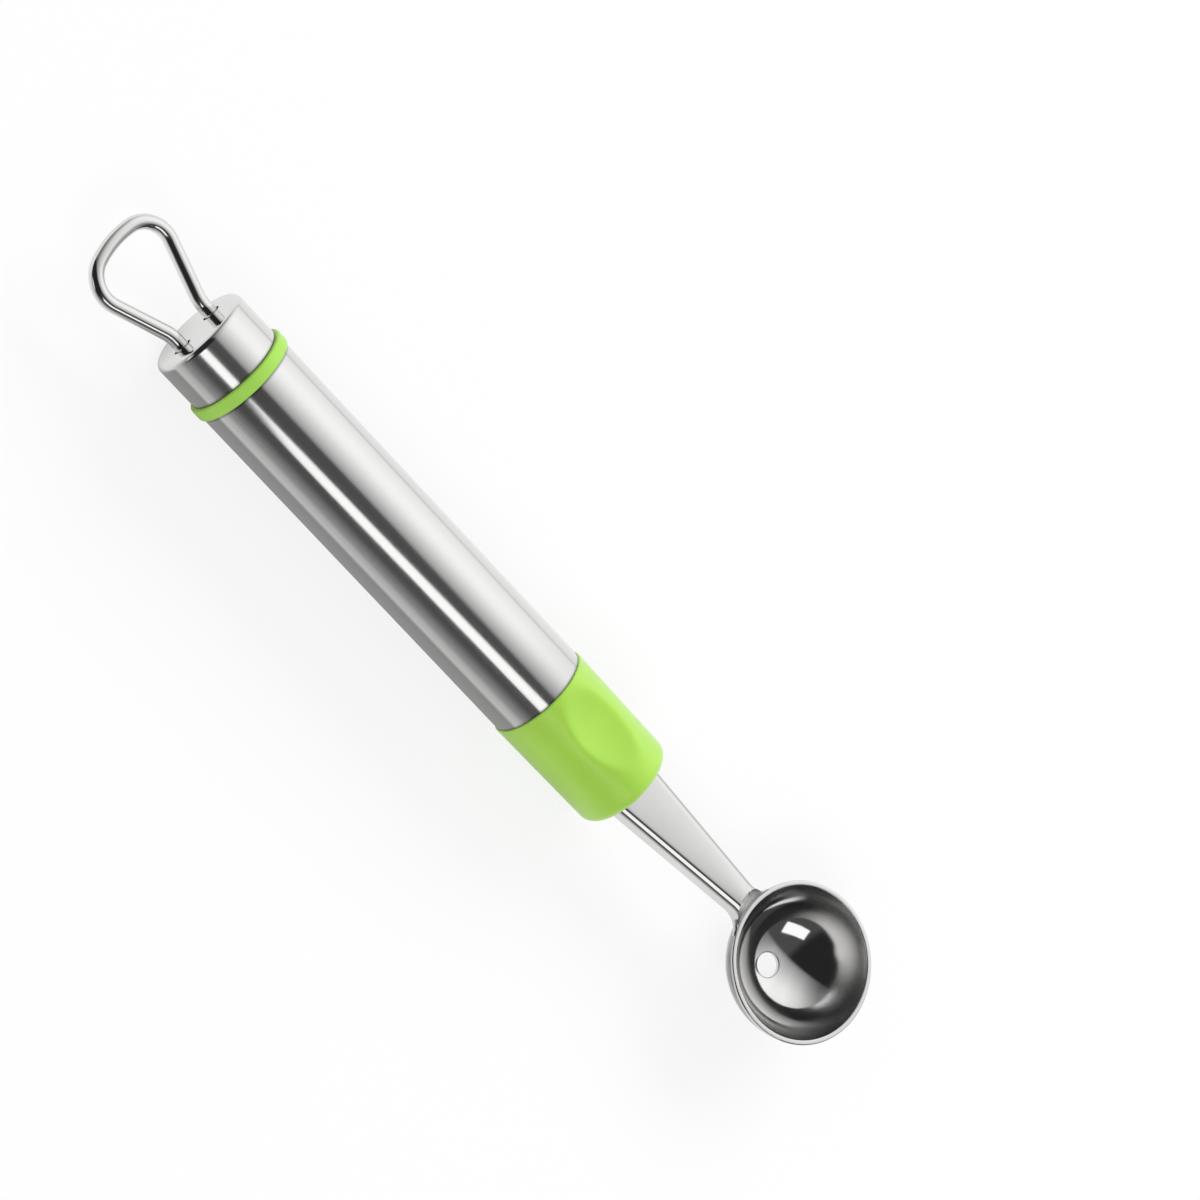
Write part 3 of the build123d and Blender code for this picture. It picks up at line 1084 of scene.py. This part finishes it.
def floor_material(colours):
    """Pale floor that stays near white to the camera and keeps the soft shadow, with painted light and
    shade and a painted shadow under the handle in the steel's reflections.
    """
    material, paint = new_material("studio_floor")
    rays = paint.node("ShaderNodeLightPath", {}, {}, "Is Camera Ray")
    glossy = paint.node("ShaderNodeLightPath", {}, {}, "Is Glossy Ray")
    place = paint.place()
    x, y = paint.parts(place)[:2]
    # Painted shadow: in the steel's reflections the floor is darkened under the handle, from the cap to
    # the grip's front
    painted_shadow_under_handle = paint.window(y, -0.026, 0.003, 0.004) * paint.window(x, CAP_LOW.x, GRIP_HIGH.x, 0.004)
    # Painted light and shade: in the steel's reflections the floor follows a ramp across the handle,
    # brightest just beside it and darker further out
    painted_floor_light = paint.ramp(y, -0.4, 0.6, *FLOOR_PAINTED_LEVELS) * (1 - painted_shadow_under_handle * 0.6)
    speckle = paint.noise(place, 40.0, 2.0)
    colour = paint.mix(speckle, shade(colours.floor, 0.99), shade(colours.floor))
    colour = paint.mix(glossy, colour, painted_floor_light)
    matt = paint.node("ShaderNodeBsdfDiffuse", {}, {"Color": colour})
    # The floor glows plain white to the camera, and glows with its painted levels in the steel's
    # reflections
    lit = paint.mix(glossy, WHITE, painted_floor_light)
    glow = paint.node("ShaderNodeEmission", {}, {"Color": lit, "Strength": 1.0})
    share = rays * 0.8 + glossy * 0.7
    both = paint.node("ShaderNodeMixShader", {}, {0: share, 1: matt, 2: glow})
    paint.node("ShaderNodeOutputMaterial", {}, {"Surface": both})
    return material


def lamp(scene, name, aim, place, size, power):
    """A soft lamp that lights matt pieces and isn't mirrored in the steel."""
    light = bpy.data.lights.new(name, "AREA")
    light.shape = "RECTANGLE"
    light.size, light.size_y = size
    light.energy = power
    holder = bpy.data.objects.new(name, light)
    holder.location = place
    holder.rotation_euler = (aim - place).to_track_quat("-Z", "Y").to_euler()
    holder.visible_glossy = False
    scene.collection.objects.link(holder)


class StageOperator(bpy.types.Operator):
    """Set up the floor, the lights and the camera"""

    bl_idname = "baller.stage"
    bl_label = "Stage"

    def execute(self, context):
        scene = context.scene
        scene.view_settings.view_transform = "Standard"
        form = bmesh.new()
        reach = 3.0
        spots = ((-reach, -reach), (reach, -reach), (reach, reach), (-reach, reach))
        form.faces.new([form.verts.new((x, y, 0)) for x, y in spots])
        mesh = bpy.data.meshes.new("floor")
        form.to_mesh(mesh)
        form.free()
        mesh.materials.append(floor_material(scene.baller_colours))
        floor = bpy.data.objects.new("floor", mesh)
        scene.collection.objects.link(floor)
        studio_world(scene)
        aim = Vector((0, 0, AXIS_HEIGHT))
        lamp(scene, "key_lamp", aim, *KEY_LAMP)
        lamp(scene, "fill_lamp", aim, *FILL_LAMP)
        view = bpy.data.cameras.new("camera")
        view.lens = LENS
        view.sensor_width = SENSOR
        eye = bpy.data.objects.new("camera", view)
        look = (CAMERA_AIM - CAMERA_PLACE).to_track_quat("-Z", "Y").to_matrix().to_4x4()
        turn = Matrix.Rotation(math.radians(CAMERA_ROLL), 4, "Z")
        eye.matrix_world = Matrix.Translation(CAMERA_PLACE) @ look @ turn
        scene.collection.objects.link(eye)
        scene.camera = eye
        return {"FINISHED"}


OPERATORS = (
    TubeOperator,
    BandOperator,
    CapOperator,
    BowlOperator,
    ShankOperator,
    GripOperator,
    LoopOperator,
    CarriedOperator,
    StageOperator,
)
GROUPS = {
    "baller_steel": SteelSizes,
    "baller_shank": ShankSizes,
    "baller_grip": GripSizes,
    "baller_loop": LoopSizes,
    "baller_colours": Colours,
}


class BallerPanel(bpy.types.Panel):
    """Lists the sizes, the colours and the steps of the melon baller"""

    bl_idname = "VIEW3D_PT_melon_baller"
    bl_label = "Melon baller"
    bl_space_type = "VIEW_3D"
    bl_region_type = "UI"
    bl_category = "Melon Baller"

    def draw(self, context):
        for name, group in GROUPS.items():
            settings = getattr(context.scene, name)
            box = self.layout.box()
            for field in group.__annotations__:
                box.prop(settings, field)
        for operator in OPERATORS:
            self.layout.operator(operator.bl_idname)


def register():
    for group in GROUPS.values():
        bpy.utils.register_class(group)
    for name, group in GROUPS.items():
        setattr(bpy.types.Scene, name, PointerProperty(type=group))
    for operator in OPERATORS:
        bpy.utils.register_class(operator)
    bpy.utils.register_class(BallerPanel)


def unregister():
    bpy.utils.unregister_class(BallerPanel)
    for operator in reversed(OPERATORS):
        bpy.utils.unregister_class(operator)
    for name, group in reversed(GROUPS.items()):
        delattr(bpy.types.Scene, name)
        bpy.utils.unregister_class(group)


def main():
    register()
    for operator in OPERATORS:
        family, name = operator.bl_idname.split(".")
        getattr(getattr(bpy.ops, family), name)()


if __name__ == "__main__":
    main()
